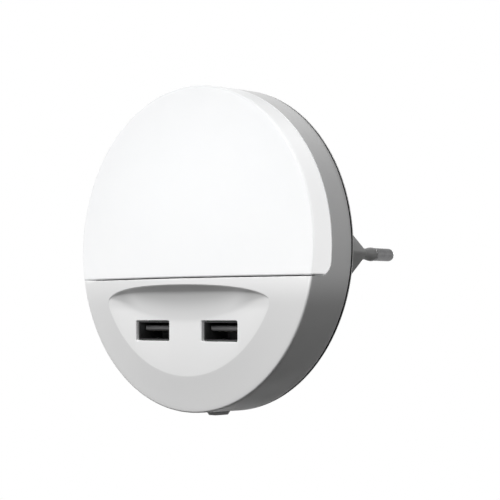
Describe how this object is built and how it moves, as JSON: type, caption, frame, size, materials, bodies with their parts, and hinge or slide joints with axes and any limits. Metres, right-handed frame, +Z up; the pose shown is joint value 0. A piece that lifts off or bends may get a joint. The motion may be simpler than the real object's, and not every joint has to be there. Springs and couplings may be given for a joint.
{
  "type": "plug in night light",
  "caption": "Round plug-in LED night light with a domed opal diffuser, two USB charging ports in a recess, a slide switch under the rim and a mains plug on its rear hump.",
  "frame": {"origin": "centre of the mains plug's engagement face, between the pins, where the plug meets the socket's floor", "axes": "+Z up, +Y along the pins into the wall, the lamp faces -Y, +X to the right as seen from the front"},
  "size_m": [0.093, 0.0868, 0.0939],
  "materials": {
    "housing": "satin moulded plastic",
    "diffuser": "opal, satin",
    "plug_plastic": "satin moulded plastic",
    "sleeve": "satin",
    "pin_metal": "nickel plated brass",
    "strip_brass": "rolled",
    "port_steel": "tin plated",
    "tongue": "moulded",
    "contacts": "gold flashed",
    "board_green": "solder mask",
    "board_white": "white solder mask",
    "led": "phosphor",
    "black_plastic": "moulded",
    "knob": "satin",
    "screw_steel": "zinc plated",
    "ferrite": "sintered",
    "tape": "wound tape",
    "can_sleeve": "shrink sleeve",
    "ceramic_blue": "dipped",
    "resistor": "lacquered"
  },
  "bodies": {
    "housing": {"front_shell": "housing", "diffuser": "diffuser", "rear_cover": "housing", "plug_block": "plug_plastic", "plug_pin_left": "pin_metal", "plug_pin_right": "pin_metal", "pin_sleeve_left": "sleeve", "pin_sleeve_right": "sleeve", "pin_contact_left": "strip_brass", "pin_contact_right": "strip_brass", "usb_shell_left": "port_steel", "usb_shell_right": "port_steel", "usb_tongue_left": "tongue", "usb_tongue_right": "tongue", "usb_contacts_left": "contacts", "usb_contacts_right": "contacts", "main_board": "board_green", "led_board": "board_white", "leds": "led", "led_header_base": "black_plastic", "led_header_pins": "contacts", "case_screws": "screw_steel", "board_screws": "screw_steel", "led_board_screws": "screw_steel", "switch_body": "black_plastic", "switch_frame": "screw_steel", "transformer_core_front": "ferrite", "transformer_core_rear": "ferrite", "transformer_bobbin": "black_plastic", "transformer_winding": "tape", "input_capacitors": "can_sleeve", "output_capacitor": "can_sleeve", "y_capacitor": "ceramic_blue", "fuse_resistor": "resistor", "bridge_rectifier": "black_plastic", "power_controller": "black_plastic", "usb_controller": "black_plastic"},
    "switch": {"switch_knob": "knob", "switch_slider": "black_plastic"}
  },
  "joints": [
    {"name": "switch_slide", "type": "slide", "parent": "housing", "child": "switch", "axis": [1, 0, 0], "range_m": [-0.003, 0]}
  ]
}
